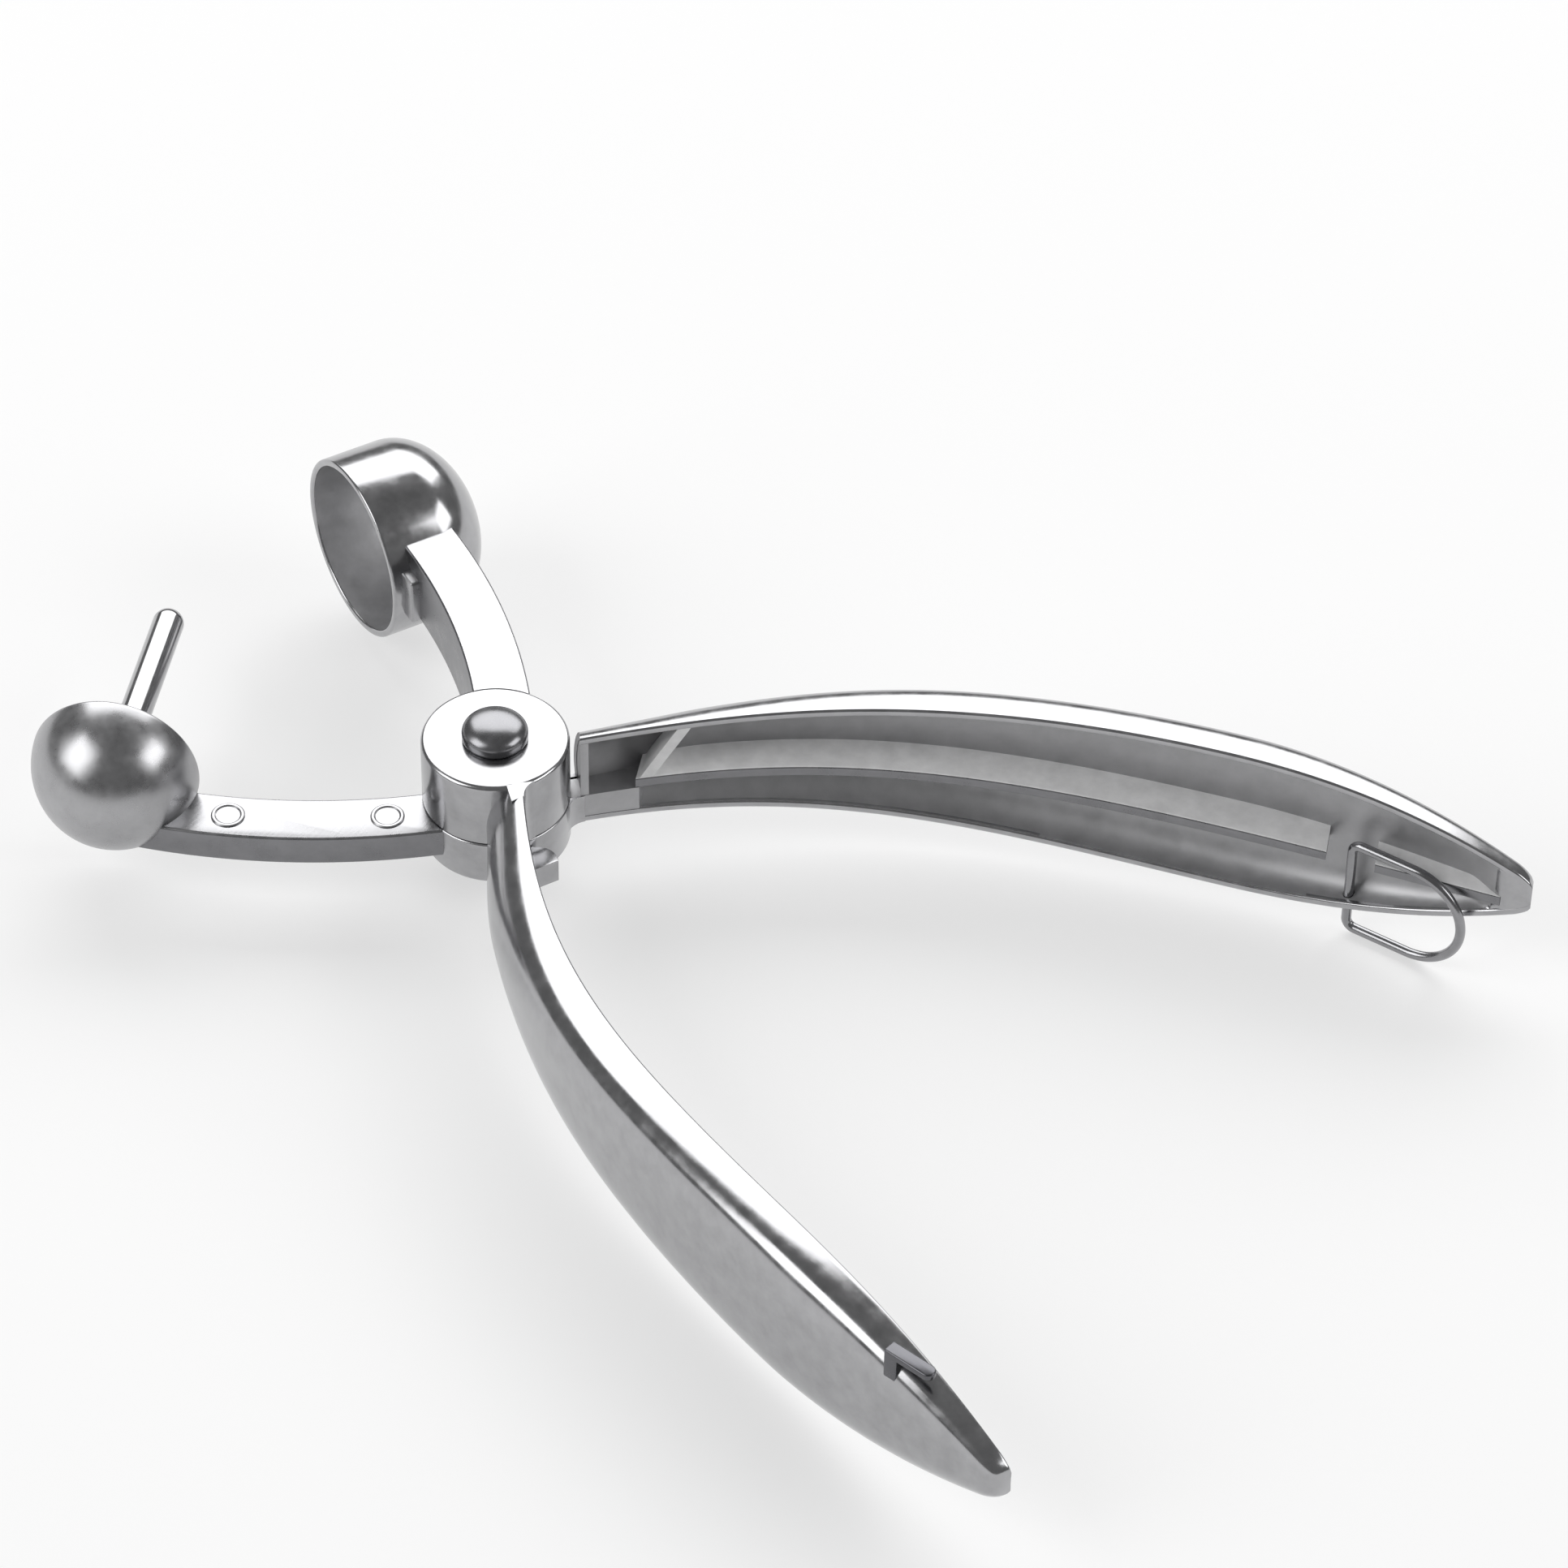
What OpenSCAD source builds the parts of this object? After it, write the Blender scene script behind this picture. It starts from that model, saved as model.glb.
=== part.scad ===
// Hand pitter for olives and cherries: two crossed cast levers on one riveted, sprung pivot.
// Origin: pivot axis at the flat underside of the hub. +Z up the pivot, +X towards the handles.
// Each lever is drawn in its shut place, where the two mirror each other in the XZ plane,
// and is then turned open by half of the opening angle.

/* [Opening] */
// Angle between the shut and the open place of the two levers
open_angle = 50; // [46:1:54]

/* [Hub] */
// Radius of both hub barrels
hub_r = 8.7; // [8.3:0.1:9.2]
// Height of the lower barrel
lower_barrel_h = 6.1; // [5.6:0.1:6.4]
// Height of the upper barrel
upper_barrel_h = 9; // [8.6:0.1:9.6]
// Play between the two barrels
seam_gap = 0.15; // [0.1:0.05:0.3]
// Rounding of the hub's top edge
hub_edge = 0.6; // [0.3:0.1:1]
// Thickness of the end wall of each barrel
deck_t = 2.4; // [2:0.1:2.8]
// Radius of the spring chamber in both barrels
chamber_r = 5.4; // [5.2:0.1:5.6]

/* [Rivet] */
// Radius of the rivet's shank
shank_r = 2; // [1.7:0.1:2.3]
// Radial play of the upper barrel on the shank
shank_clear = 0.05; // [0.02:0.01:0.1]
// Radius of the rivet's head
head_r = 3.9; // [3.4:0.1:4.4]
// Height of the straight edge of the head
head_edge = 0.9; // [0.6:0.1:1.3]
// Height of the dome above that edge
head_dome = 1.7; // [1.2:0.1:2.2]
// Radius of the riveted tail, sunk in the underside
tail_r = 3; // [2.7:0.1:3.3]
// Depth of the recess for the tail
tail_recess = 1; // [0.8:0.1:1.3]

/* [Return spring] */
// Radius of the spring wire
spring_wire_r = 0.5; // [0.4:0.05:0.6]
// Radius of the coil, to the middle of the wire
spring_coil_r = 4.1; // [3.7:0.1:4.4]
// How far each tail of the spring reaches into its barrel wall
spring_tail = 1.2; // [0.8:0.1:1.5]

/* [Jaws] */
// Distance from the pivot to the line of the plunger rod, when shut
jaw_reach = 44.1; // [42:0.1:46]
// Height of the rod and cup line above the hub's underside
jaw_z = 8.65; // [8.3:0.05:9]
// Outer radius of the cup
cup_r = 11.4; // [11:0.1:11.8]
// Wall of the cup
cup_wall = 1.3; // [1:0.1:1.6]
// Depth of the straight part of the cup
cup_skirt = 7.4; // [6.6:0.1:8]
// Depth of the domed part of the cup
cup_dome = 8.4; // [7.8:0.1:9]
// Distance from the middle line to the cup's rim
cup_rim_y = 3.7; // [3.2:0.1:4.2]
// Radius of the hole that the stone leaves through
stone_hole_r = 3.8; // [3.2:0.1:4.4]
// Outer radius of the splash bowl
bowl_r = 10; // [9.7:0.1:10.4]
// Depth of the splash bowl
bowl_depth = 10.4; // [10:0.1:10.8]
// Wall of the splash bowl
bowl_wall = 1.4; // [1.1:0.1:1.8]
// Distance from the middle line to the bowl's rim
bowl_rim_y = 5.9; // [5.5:0.1:6.3]
// Radius of the plunger rod
rod_r = 1.9; // [1.6:0.1:2.2]
// How far the rod's tip stands past the outside of the cup when shut
rod_past = 1.2; // [0.8:0.1:2]
// Radius of the boss that holds the rod
rod_boss_r = 3.2; // [2.9:0.1:3.6]
// Height of that boss inside the bowl
rod_boss_h = 3; // [2.5:0.1:3.5]

/* [Arms] */
// Width of both arms, seen from above
arm_w = 6.7; // [6:0.1:7.4]
// Radius of the bow of both arms
arm_bow_r = 80; // [70:1:95]
// Distance along the jaw where the bow stands furthest out
arm_peak_x = 35.2; // [33:0.2:38]
// How far out it stands there, to the middle of the arm
arm_peak_y = 9.6; // [9:0.1:10.2]
// Thickness of the plunger arm
plunger_arm_t = 4; // [3.5:0.1:4.5]
// Side of the square foot that joins the cup arm to the cup's skirt
foot_w = 3.6; // [3:0.1:4.4]
// Radius of the round casting marks
mark_r = 2; // [1.6:0.1:2.3]
// Height of the round casting marks
mark_h = 0.2; // [0.1:0.05:0.3]

/* [Handles] */
// Distance from the pivot to the handles' tips
tip_x = 121.1; // [117:0.1:125]
// Gap between one lever's barrel and the end of the other lever's handle
shell_gap = 1.15; // [0.9:0.05:1.6]
// Height of the handles' middle plane above the hub's underside
handle_z = 8.6; // [8.4:0.1:8.8]
// Half height of the handle where it starts
neck_half = 6.7; // [6.4:0.1:6.9]
// Half height of the handle at its widest
wide_half = 10.65; // [10.3:0.05:11]
// Distance from the pivot to the widest place
wide_x = 84; // [80:1:88]
// Half height of the handle's tip
tip_half = 2.4; // [2:0.1:2.8]
// Depth of the handle shell from rim to back
shell_depth = 6; // [5.7:0.1:6.5]
// Depth of the shell at its tip
tip_depth = 2.4; // [2:0.1:3]
// Depth of the shell where it leaves the hub
root_depth = 4.8; // [4.4:0.1:5.4]
// Wall of the handle shell
shell_wall = 1.5; // [1.3:0.1:1.8]
// Thickness of the rib inside the handle
rib_t = 1.5; // [1.2:0.1:1.8]
// Distance from the middle plane to the near face of the rib
rib_offset = 1.1; // [0.9:0.1:1.4]
// Length of the solid neck beyond the barrel
neck_l = 7.5; // [6.5:0.1:9]
// Slant of the bulkhead, measured along the handle
bulkhead_run = 6; // [5:0.5:8]
// Distance from the bail's hole back to the end of the rib
rib_room = 3; // [2.4:0.1:4]
// Distance from the bail's hole on to the web at the tip
web_room = 2.8; // [2.4:0.1:4]
// Radius of the hollow corner between a neck and its barrel
fillet_r = 2.7; // [2.4:0.1:3.2]

/* [Latch] */
// Radius of the bail wire
bail_wire_r = 0.6; // [0.5:0.05:0.7]
// Radial play of the bail in its hole
bail_clear = 0.08; // [0.04:0.02:0.1]
// Width of the bail across its two legs, to the middle of the wire
bail_w = 13.2; // [12.8:0.1:13.6]
// Length of the bail from its hole to the middle of the far wire
bail_l = 14.7; // [14.1:0.1:15.3]
// Distance from the handle's tip back to the bail's hole
bail_from_tip = 21.2; // [19:0.2:24]
// Distance from the handle's rim to the middle of the bail's hole
bail_inset = 1.6; // [1.4:0.1:1.9]
// Angle at which the bail at rest leaves the line of the rim
bail_rest = 13; // [11:0.5:15]
// Height of the bail's middle above the hub's underside
bail_z = 1.85; // [1.65:0.05:2.05]
// Distance from the handle's tip back to the root of the latch hook
hook_from_tip = 15.6; // [13:0.2:18]
// Distance from the handle's rim to the near side of the hook
hook_inset = 2.6; // [2.2:0.1:3]
// Length of the hook along the handle
hook_l = 5.4; // [4.8:0.1:6]
// Angle between the hook and the line of the lever
hook_turn = 20; // [15:1:25]
// Width of the hook's finger
hook_w = 1.7; // [1.5:0.1:2]
// Thickness of the hook's finger
hook_t = 0.9; // [0.8:0.1:1.1]
// Clear height under the hook's finger
hook_gap = 0.9; // [0.8:0.1:1.2]

/* [Closing stop] */
// Distance from the barrel to the outer face of the closing stop
stop_reach = 3.7; // [3.3:0.1:4.1]
// Height of the closing stop
stop_h = 3.2; // [2.8:0.1:3.6]
// Play that is left at the closing stop when the levers are shut
stop_play = 0.15; // [0.1:0.05:0.3]

/* [Hidden] */

$fn = 96;
tiny = 0.01;
half_open = open_angle / 2;
seam_z = lower_barrel_h + seam_gap;
hub_top = seam_z + upper_barrel_h;

// Stop that ends the opening: a tab of the lower barrel runs in a groove of the upper one
tab_half = 6;
tab_play = 0.6;
tab_h = 1.2;
tab_wall = 0.75;
tab_in = chamber_r + tab_wall;
tab_out = hub_r - 1.6 * tab_wall;
groove_play = 0.2;

// Handle outline: the rim is a curve with two pulls, and the height follows the length
shell_r = hub_r + shell_gap;
root_x = 4;
neck_end_x = hub_r + neck_l;
stop_x = hub_r + stop_reach;
rim_start = [hub_r + 1.7, 1.75];
rim_lift = [41.2, 15.9];
rim_swell = [63.8, 13.7];
rim_tip = [tip_x, 3];
bail_x = tip_x - bail_from_tip;
hook_x = tip_x - hook_from_tip;
rib_end_x = bail_x - rib_room;
tip_web_x = bail_x + web_room;
stations = 26;
facets = 14;
boxy_low = 3;
boxy_high = 4.4;
boxy_from = 14;
boxy_to = 56;
swell_from = hub_r - 0.2;
taper_power = 2.25;
tip_round = 2;
tip_shrink = 0.7;
depth_taper_from = 88;
depth_taper_power = 1.6;
flare_from = hub_r - 1.7;
flare_l = 16;
cavity_lip = 3;
cavity_stop = 4.5;

function mix(a, b, t) = a + (b - a) * t;
function clamp01(t) = min(1, max(0, t));
function smooth(t) = clamp01(t) * clamp01(t) * (3 - 2 * clamp01(t));
function curve(t) =
    pow(1 - t, 3) * rim_start + 3 * pow(1 - t, 2) * t * rim_lift
    + 3 * (1 - t) * t * t * rim_swell + pow(t, 3) * rim_tip;
function t_at(x, low = 0, high = 1, turns = 24) =
    turns == 0 ? (low + high) / 2
    : curve((low + high) / 2)[0] < x ? t_at(x, (low + high) / 2, high, turns - 1)
    : t_at(x, low, (low + high) / 2, turns - 1);
rim_dir = (rim_lift - rim_start) / norm(rim_lift - rim_start);

// Middle of the hollow corner that touches both the barrel and the line of the rim
fillet_side = [rim_dir[1], -rim_dir[0]];
fillet_base = rim_start + fillet_r * fillet_side;
fillet_slide = sqrt(
    pow(fillet_base * rim_dir, 2) - fillet_base * fillet_base + pow(hub_r + fillet_r, 2)
) - fillet_base * rim_dir;
fillet_middle = fillet_base + fillet_slide * rim_dir;

function rim_y(x) = x < rim_start[0]
    ? rim_start[1] + (x - rim_start[0]) * rim_dir[1] / rim_dir[0]
    : curve(t_at(x))[1];

// Direction of the rim at a place along it
function rim_angle(x) = atan(rim_y(x + 0.5) - rim_y(x - 0.5));

// Rounding of the tip, 1 along the handle and smaller at the very end
function tip_scale(x) =
    mix(tip_shrink, 1, sqrt(max(0, 1 - pow(clamp01((x - tip_x + tip_round) / tip_round), 2))));
function half_height(x) = tip_scale(x) * (
    x < wide_x
    ? mix(neck_half, wide_half, smooth((x - swell_from) / (wide_x - swell_from)))
    : mix(wide_half, tip_half, pow(clamp01((x - wide_x) / (tip_x - wide_x)), taper_power)));
function depth(x) = tip_scale(x) * (
    x < wide_x
    ? mix(root_depth, shell_depth, smooth((x - flare_from) / flare_l))
    : mix(
        shell_depth, tip_depth,
        pow(clamp01((x - depth_taper_from) / (tip_x - depth_taper_from)), depth_taper_power)
    ));
function power(x, most) = mix(2, most, smooth((x - boxy_from) / (boxy_to - boxy_from)));

// One cross-section of the shell, from its lower to its upper lip, drawn inset by a wall
function section(x, inset, lip) = let (
    y = rim_y(x),
    h = half_height(x) - inset,
    d = depth(x) - inset,
    p_low = 2 / power(x, boxy_low),
    p_high = 2 / power(x, boxy_high)
) concat(
    lip > 0 ? [[x, y - lip, handle_z - h]] : [],
    [for (k = [0 : facets]) let (
        a = -90 + 180 * k / facets,
        p = a > 0 ? p_high : p_low
    ) [
        x,
        y + d * pow(max(0, cos(a)), p),
        handle_z + h * sign(sin(a)) * pow(abs(sin(a)), p)
    ]],
    lip > 0 ? [[x, y - lip, handle_z + h]] : []
);

// Closed solid through a row of cross-sections
module loft(sections) {
    n = len(sections[0]);
    last = len(sections) - 1;
    polyhedron(
        points = [for (s = sections) for (p = s) p],
        faces = concat(
            [for (k = [1 : n - 2]) [0, k, k + 1]],
            [for (k = [1 : n - 2]) [last * n, last * n + k + 1, last * n + k]],
            [for (i = [0 : last - 1]) for (k = [0 : n - 1]) let (j = (k + 1) % n)
                [i * n + k, (i + 1) * n + k, (i + 1) * n + j]],
            [for (i = [0 : last - 1]) for (k = [0 : n - 1]) let (j = (k + 1) % n)
                [i * n + k, (i + 1) * n + j, i * n + j]]
        )
    );
}

// Places along the handle, closer together towards the tip
function places(x1) = concat(
    [root_x, flare_from],
    [for (k = [0 : stations])
        let (t1 = t_at(x1)) curve(t1 * sin(90 * k / stations))[0]]
);

module shell_outside() {
    loft([for (x = places(tip_x)) section(x, 0, 0)]);
}

module shell_cavity() {
    loft([for (x = places(tip_x - cavity_stop)) section(x, shell_wall, cavity_lip)]);
}

module level(z0, z1) {
    translate([0, -tip_x, z0]) cube([tip_x, 2 * tip_x, z1 - z0]);
}

// The cavity, cut off level with the rim
module inside_rim() {
    intersection() {
        shell_cavity();
        shell_outside();
    }
}

// Open channel of a handle. Between the levels z0 and z1 its hub end is open for the neck.
module handle_shell(z0, z1) {
    difference() {
        shell_outside();
        cylinder(r = shell_r, h = 3 * wide_half);
        difference() {
            shell_cavity();
            difference() {
                cylinder(r = shell_r + shell_wall, h = 3 * wide_half);
                level(z0, z1);
            }
        }
    }
}

// Solid root of a handle between the levels z0 and z1
module neck_block(z0, z1) {
    lap_x = rim_start[0] - 1;
    lap = 0.4;
    difference() {
        union() {
            intersection() {
                level(z0, z1);
                union() {
                    intersection() {
                        shell_outside();
                        cylinder(r = shell_r, h = 3 * wide_half);
                    }
                    difference() {
                        inside_rim();
                        translate([neck_end_x, -tip_x, 0]) cube(2 * tip_x);
                    }
                }
            }
            translate([0, 0, max(z0, handle_z - neck_half)])
                linear_extrude(min(z1, handle_z + neck_half) - max(z0, handle_z - neck_half))
                    polygon([
                        fillet_middle * hub_r / (hub_r + fillet_r),
                        fillet_middle,
                        fillet_middle - fillet_r * fillet_side,
                        [lap_x, rim_y(lap_x)],
                        [lap_x, rim_y(lap_x) + lap],
                        [hub_r - hub_edge, rim_y(lap_x) + lap]
                    ]);
        }
        translate([0, 0, -tiny]) cylinder(r = hub_r, h = 3 * wide_half);
        translate([fillet_middle[0], fillet_middle[1], -tiny])
            cylinder(r = fillet_r, h = 3 * wide_half);
    }
}

// Rib inside the handle from x0 to x1: up = 1 puts it above the middle plane, -1 below
module handle_rib(up, x0, x1) {
    intersection() {
        inside_rim();
        translate([x0, -tip_x, handle_z + up * (rib_offset + rib_t / 2) - rib_t / 2])
            cube([x1 - x0, 2 * tip_x, rib_t]);
    }
}

// Slanted wall that closes the hollow beside the neck: up = 1 for a hollow above the neck
module handle_bulkhead(up) {
    foot = handle_z - up * rib_offset;
    far = handle_z + up * wide_half;
    intersection() {
        inside_rim();
        translate([0, tip_x, 0])
            rotate([90, 0, 0])
                linear_extrude(2 * tip_x)
                    polygon([
                        [neck_end_x, foot],
                        [neck_end_x + rib_t, foot],
                        [neck_end_x + rib_t + bulkhead_run, far],
                        [neck_end_x + bulkhead_run, far]
                    ]);
    }
}

// Places a piece of the plunger lever, which is drawn shut, in its open place
module plunger_lever() {
    rotate([0, 0, half_open]) children();
}

// The same for the cup lever, whose handle is the mirror image
module cup_lever() {
    rotate([0, 0, -half_open]) children();
}

module ring(r_in, r_out, h) {
    difference() {
        cylinder(r = r_out, h = h);
        translate([0, 0, -tiny]) cylinder(r = r_in, h = h + 2 * tiny);
    }
}

module arc_block(r_in, r_out, h, from, to) {
    rotate([0, 0, from])
        rotate_extrude(angle = to - from)
            translate([r_in, 0]) square([r_out - r_in, h]);
}

// Arm of a lever, drawn on the +Y side: a bowed bar that stops at the hub
module arm_bar(z0, h) {
    difference() {
        intersection() {
            translate([-arm_peak_x, arm_peak_y - arm_bow_r, z0])
                ring(arm_bow_r - arm_w / 2, arm_bow_r + arm_w / 2, h);
            translate([-jaw_reach, 0, z0]) cube([jaw_reach, 2 * arm_w + arm_peak_y, h]);
        }
        translate([0, 0, z0 - tiny]) cylinder(r = hub_r, h = h + 2 * tiny);
    }
}

function dome_points(r, skirt, dome, r_stop, n) = [for (k = [0 : n])
    let (a = acos(r_stop / r) * k / n) [r * cos(a), skirt + dome * sin(a)]];
function backwards(v) = [for (k = [len(v) - 1 : -1 : 0]) v[k]];

// Solid that fills the cup's outside, standing on its rim
module cup_outside() {
    rotate_extrude()
        polygon(concat(
            [[0, 0], [cup_r, 0]],
            dome_points(cup_r, cup_skirt, cup_dome, stone_hole_r, 16),
            [[0, cup_skirt + cup_dome]]
        ));
}

module place_cup() {
    cup_lever()
        translate([-jaw_reach, cup_rim_y, jaw_z])
            rotate([-90, 0, 0]) children();
}

module bowl_outside() {
    rotate_extrude()
        polygon(concat([[0, 0]], dome_points(bowl_r, 0, bowl_depth, 0, 18)));
}

module place_bowl() {
    plunger_lever()
        translate([-jaw_reach, -bowl_rim_y, jaw_z])
            rotate([90, 0, 0]) children();
}

module lower_barrel() {
    color("silver")
        plunger_lever() {
            difference() {
                cylinder(r = hub_r, h = lower_barrel_h);
                translate([0, 0, -tiny]) cylinder(r = tail_r, h = tail_recess + tiny);
                cylinder(r = shank_r, h = lower_barrel_h);
                translate([0, 0, deck_t]) cylinder(r = chamber_r, h = lower_barrel_h);
                translate([spring_coil_r, 0, deck_t - spring_tail])
                    cylinder(r = spring_wire_r, h = lower_barrel_h);
            }
            translate([0, 0, lower_barrel_h - tiny])
                arc_block(tab_in, tab_out, tab_h + tiny, 180 - tab_half, 180 + tab_half);
        }
}

module upper_barrel() {
    tab_at = 180 + open_angle;
    color("silver")
        cup_lever()
            difference() {
                translate([0, 0, seam_z])
                    rotate_extrude()
                        polygon(concat(
                            [[0, 0], [hub_r, 0]],
                            [for (a = [0 : 15 : 90]) [
                                hub_r - hub_edge + hub_edge * cos(a),
                                upper_barrel_h - hub_edge + hub_edge * sin(a)
                            ]],
                            [[0, upper_barrel_h]]
                        ));
                cylinder(r = shank_r + shank_clear, h = hub_top + tiny);
                cylinder(r = chamber_r, h = hub_top - deck_t);
                rotate([0, 0, open_angle])
                    translate([spring_coil_r, 0, 0])
                        cylinder(r = spring_wire_r, h = hub_top - deck_t + spring_tail);
                translate([0, 0, seam_z - tiny])
                    arc_block(
                        tab_in - groove_play, tab_out + groove_play, tab_h + groove_play,
                        tab_at - tab_half - open_angle - tab_play, tab_at + tab_half + tab_play
                    );
            }
}

module pivot_rivet() {
    head_z = hub_top + shank_clear;
    cap_r = (head_r * head_r + head_dome * head_dome) / (2 * head_dome);
    color("dimgray") {
        cylinder(r = shank_r, h = head_z + tiny);
        cylinder(r = tail_r, h = tail_recess);
        translate([0, 0, head_z]) cylinder(r = head_r, h = head_edge);
        intersection() {
            translate([0, 0, head_z + head_edge]) cylinder(r = head_r, h = head_dome);
            translate([0, 0, head_z + head_edge + head_dome - cap_r]) sphere(r = cap_r);
        }
    }
}

// The spring is hidden in its chamber: a sleeve the size of its coil, with two tails
module return_spring() {
    bottom = deck_t + spring_wire_r / 2;
    top = hub_top - deck_t - spring_wire_r / 2;
    color("gray")
        plunger_lever() {
            translate([0, 0, bottom])
                ring(spring_coil_r - spring_wire_r, spring_coil_r + spring_wire_r, top - bottom);
            for (z = [deck_t - spring_tail, top - tiny])
                translate([spring_coil_r, 0, z])
                    cylinder(r = spring_wire_r, h = spring_tail + spring_wire_r / 2 + tiny);
        }
}

module plunger_arm() {
    color("silver")
        difference() {
            plunger_lever()
                mirror([0, 1, 0]) {
                    arm_bar(lower_barrel_h - plunger_arm_t, plunger_arm_t);
                    for (x = [hub_r + 1.5 * mark_r, jaw_reach - bowl_r - 1.2 * mark_r])
                        translate([-x, arm_y(x), lower_barrel_h - tiny])
                            cylinder(r = mark_r, h = mark_h + tiny);
                }
            place_bowl() {
                bowl_outside();
                translate([0, 0, -bowl_rim_y]) cylinder(r = bowl_r, h = bowl_rim_y + tiny);
            }
        }
}

function arm_y(x) = arm_peak_y - arm_bow_r + sqrt(pow(arm_bow_r, 2) - pow(x - arm_peak_x, 2));

module splash_bowl() {
    inner_r = bowl_r - bowl_wall;
    inner_depth = bowl_depth - bowl_wall;
    color("silver")
        place_bowl()
            difference() {
                union() {
                    rotate_extrude()
                        polygon(concat(
                            dome_points(bowl_r, 0, bowl_depth, 0, 18),
                            backwards(dome_points(inner_r, 0, inner_depth, 0, 18))
                        ));
                    intersection() {
                        translate([0, 0, inner_depth - rod_boss_h])
                            cylinder(r = rod_boss_r, h = rod_boss_h + tiny);
                        bowl_outside();
                    }
                }
                translate([0, 0, inner_depth - rod_boss_h - tiny])
                    cylinder(r = rod_r, h = rod_boss_h + tiny);
            }
}

module plunger_rod() {
    seat = bowl_depth - bowl_wall;
    reach = bowl_rim_y + cup_rim_y + cup_skirt + cup_dome + rod_past;
    color("lightgray")
        place_bowl()
            translate([0, 0, rod_r - reach]) {
                cylinder(r = rod_r, h = reach - rod_r + seat);
                sphere(r = rod_r);
            }
}

module pitting_cup() {
    color("silver")
        place_cup()
            rotate_extrude()
                polygon(concat(
                    [[cup_r, 0]],
                    dome_points(cup_r, cup_skirt, cup_dome, stone_hole_r, 16),
                    backwards(dome_points(cup_r - cup_wall, cup_skirt, cup_dome - cup_wall, stone_hole_r, 16)),
                    [[cup_r - cup_wall, 0]]
                ));
}

module cup_arm() {
    color("silver")
        difference() {
            cup_lever() {
                arm_bar(seam_z, upper_barrel_h);
                translate([-jaw_reach + cup_r - foot_w / 2, arm_y(jaw_reach - cup_r) - foot_w - 1, seam_z])
                    cube([foot_w, foot_w, 0.7 * upper_barrel_h]);
            }
            place_cup() cup_outside();
        }
}

module plunger_neck() {
    color("silver") plunger_lever() neck_block(0, lower_barrel_h);
}

module plunger_handle() {
    color("silver")
        plunger_lever()
            difference() {
                handle_shell(0, lower_barrel_h);
                translate([bail_x, rim_y(bail_x) + bail_inset, handle_z - 2 * wide_half])
                    cylinder(r = bail_wire_r + bail_clear, h = 2 * wide_half);
            }
}

module plunger_handle_rib() {
    color("darkgray") plunger_lever() handle_rib(-1, neck_end_x, rib_end_x);
}

module plunger_handle_bulkhead() {
    color("darkgray") plunger_lever() handle_bulkhead(1);
}

module plunger_handle_tip_web() {
    color("darkgray") plunger_lever() handle_rib(-1, tip_web_x, tip_x);
}

module cup_neck() {
    color("silver") cup_lever() mirror([0, 1, 0]) neck_block(seam_z, hub_top + wide_half);
}

module cup_handle() {
    color("silver") cup_lever() mirror([0, 1, 0]) handle_shell(seam_z, hub_top + wide_half);
}

module cup_handle_rib() {
    color("darkgray") cup_lever() mirror([0, 1, 0]) handle_rib(1, neck_end_x, rib_end_x);
}

module cup_handle_bulkhead() {
    color("darkgray") cup_lever() mirror([0, 1, 0]) handle_bulkhead(-1);
}

module cup_handle_tip_web() {
    color("darkgray") cup_lever() mirror([0, 1, 0]) handle_rib(1, tip_web_x, tip_x);
}

// Nose under the cup lever's neck that meets the plunger lever's neck when they are shut
module closing_stop() {
    color("silver")
        cup_lever()
            translate([0, 0, handle_z - neck_half])
                linear_extrude(stop_h)
                    difference() {
                        intersection() {
                            translate(fillet_middle) circle(r = fillet_r - stop_play);
                            translate([hub_r, -rim_y(stop_x)])
                                square([stop_x - hub_r, 2 * rim_y(stop_x)]);
                        }
                        mirror([0, 1])
                            polygon(concat(
                                [for (x = places(tip_x)) if (x < 2 * stop_x) [x, rim_y(x)]],
                                [[2 * stop_x, tip_x], [root_x, tip_x]]
                            ));
                        circle(r = hub_r + seam_gap);
                    }
}

module latch_hook() {
    y = rim_y(hook_x) + hook_inset;
    wall_z = handle_z + half_height(hook_x);
    top = wall_z + hook_gap + hook_t;
    color("dimgray")
        cup_lever()
            mirror([0, 1, 0])
                difference() {
                    translate([hook_x, y, 0])
                        rotate([0, 0, -hook_turn]) {
                            translate([0, 0, wall_z - 2 * shell_wall])
                                cube([hook_w, hook_w, top - wall_z + 2 * shell_wall]);
                            translate([0, 0, top - hook_t]) cube([hook_l, hook_w, hook_t]);
                            translate([hook_l, hook_w / 2, top - hook_t])
                                cylinder(r = hook_w / 2, h = hook_t);
                        }
                    shell_outside();
                }
}

// Wire bent to a D: a straight side in the handle's hole, two legs and a round far end
module latch_bail() {
    end_r = bail_w / 2;
    corner_r = 2 * bail_wire_r;
    color("lightgray")
        plunger_lever()
            translate([bail_x, rim_y(bail_x) + bail_inset, bail_z])
                rotate([90, 0, rim_angle(bail_x) - bail_rest]) {
                    for (side = [0, 1])
                        mirror([0, side, 0]) {
                            rotate([-90, 0, 0]) cylinder(r = bail_wire_r, h = end_r - corner_r);
                            translate([corner_r, end_r - corner_r, 0])
                                rotate([0, 0, 90])
                                    rotate_extrude(angle = 90)
                                        translate([corner_r, 0]) circle(r = bail_wire_r);
                            translate([corner_r, end_r, 0])
                                rotate([0, 90, 0])
                                    cylinder(r = bail_wire_r, h = bail_l - end_r - corner_r);
                            translate([bail_l - end_r, 0, 0])
                                rotate_extrude(angle = 90)
                                    translate([end_r, 0]) circle(r = bail_wire_r);
                        }
                }
}

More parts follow.
